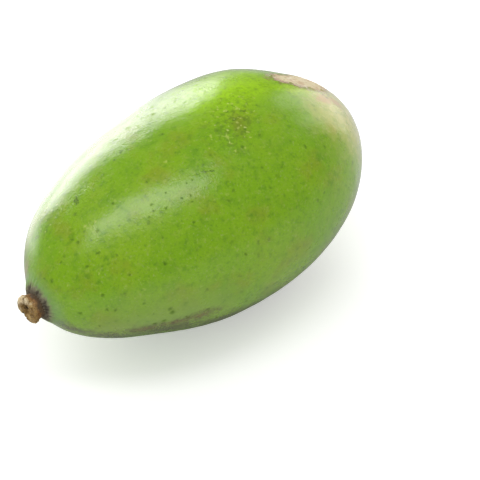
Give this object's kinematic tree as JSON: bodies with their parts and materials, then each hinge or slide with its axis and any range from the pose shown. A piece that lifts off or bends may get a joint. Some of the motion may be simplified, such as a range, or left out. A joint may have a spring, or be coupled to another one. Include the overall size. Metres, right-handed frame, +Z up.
{
  "type": "ambarella fruit",
  "caption": "Whole unripe green ambarella lying on its side, egg-shaped with a waxy speckled skin and a short woody stalk stub at its stem end.",
  "frame": {"origin": "middle of the foot of the part's box, on the surface that the fruit lies on", "axes": "+X along the fruit from its stem end to its far end, +Z up from the surface, +Y across"},
  "size_m": [0.0834, 0.0488, 0.0434],
  "materials": {
    "skin": "waxy satin green fruit skin with dark lenticels and patches of russet",
    "stalk": "dry corky broken stalk, matte brown"
  },
  "bodies": {
    "root": {"fruit": "skin", "stalk_stub": "stalk"}
  },
  "joints": []
}
